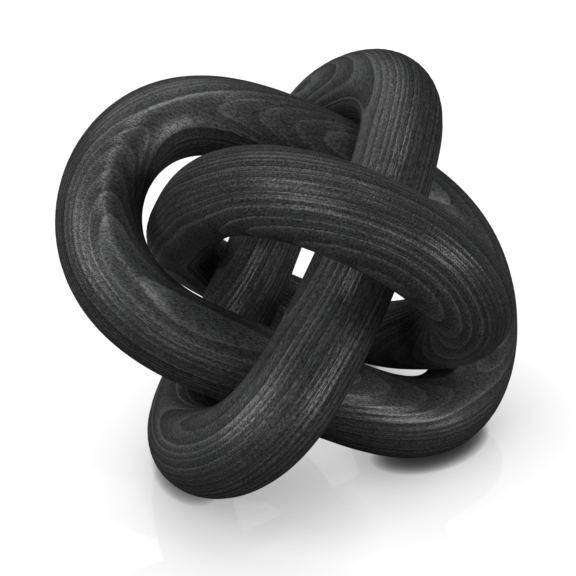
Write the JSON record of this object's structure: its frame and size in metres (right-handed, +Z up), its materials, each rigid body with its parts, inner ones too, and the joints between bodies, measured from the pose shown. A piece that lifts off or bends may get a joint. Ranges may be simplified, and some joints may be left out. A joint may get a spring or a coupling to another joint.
{
  "type": "wooden chain link decor",
  "caption": "Decorative knot of thick oval wooden links with a round section, locked through one another and standing on their ends as a tabletop ornament.",
  "frame": {"origin": "on the surface that the knot stands on, under the middle of its box", "axes": "+Z is up. +X runs to the right and +Y away from the front, the side that faces the camera"},
  "size_m": [0.1522, 0.1602, 0.1207],
  "materials": {
    "stained_wood": "black stain over brushed wood, satin, with the raised grain left lighter",
    "dowel_wood": "plain turned dowel, sealed inside the glue joint"
  },
  "bodies": {
    "face_link": {"face_link_half_a": "stained_wood", "face_link_half_b": "stained_wood", "face_link_dowel_a": "dowel_wood", "face_link_dowel_b": "dowel_wood"},
    "upright_link": {"upright_link_half_a": "stained_wood", "upright_link_half_b": "stained_wood", "upright_link_dowel_a": "dowel_wood", "upright_link_dowel_b": "dowel_wood"},
    "cross_link": {"cross_link_half_a": "stained_wood", "cross_link_half_b": "stained_wood", "cross_link_dowel_a": "dowel_wood", "cross_link_dowel_b": "dowel_wood"}
  },
  "joints": [
    {"name": "upright_slide", "type": "slide", "parent": "face_link", "child": "upright_link", "axis": [0.766, -0.6428, 0], "range_m": [0, 0.005]},
    {"name": "cross_slide", "type": "slide", "parent": "face_link", "child": "cross_link", "axis": [0, 1, 0], "range_m": [0, 0.014]}
  ]
}
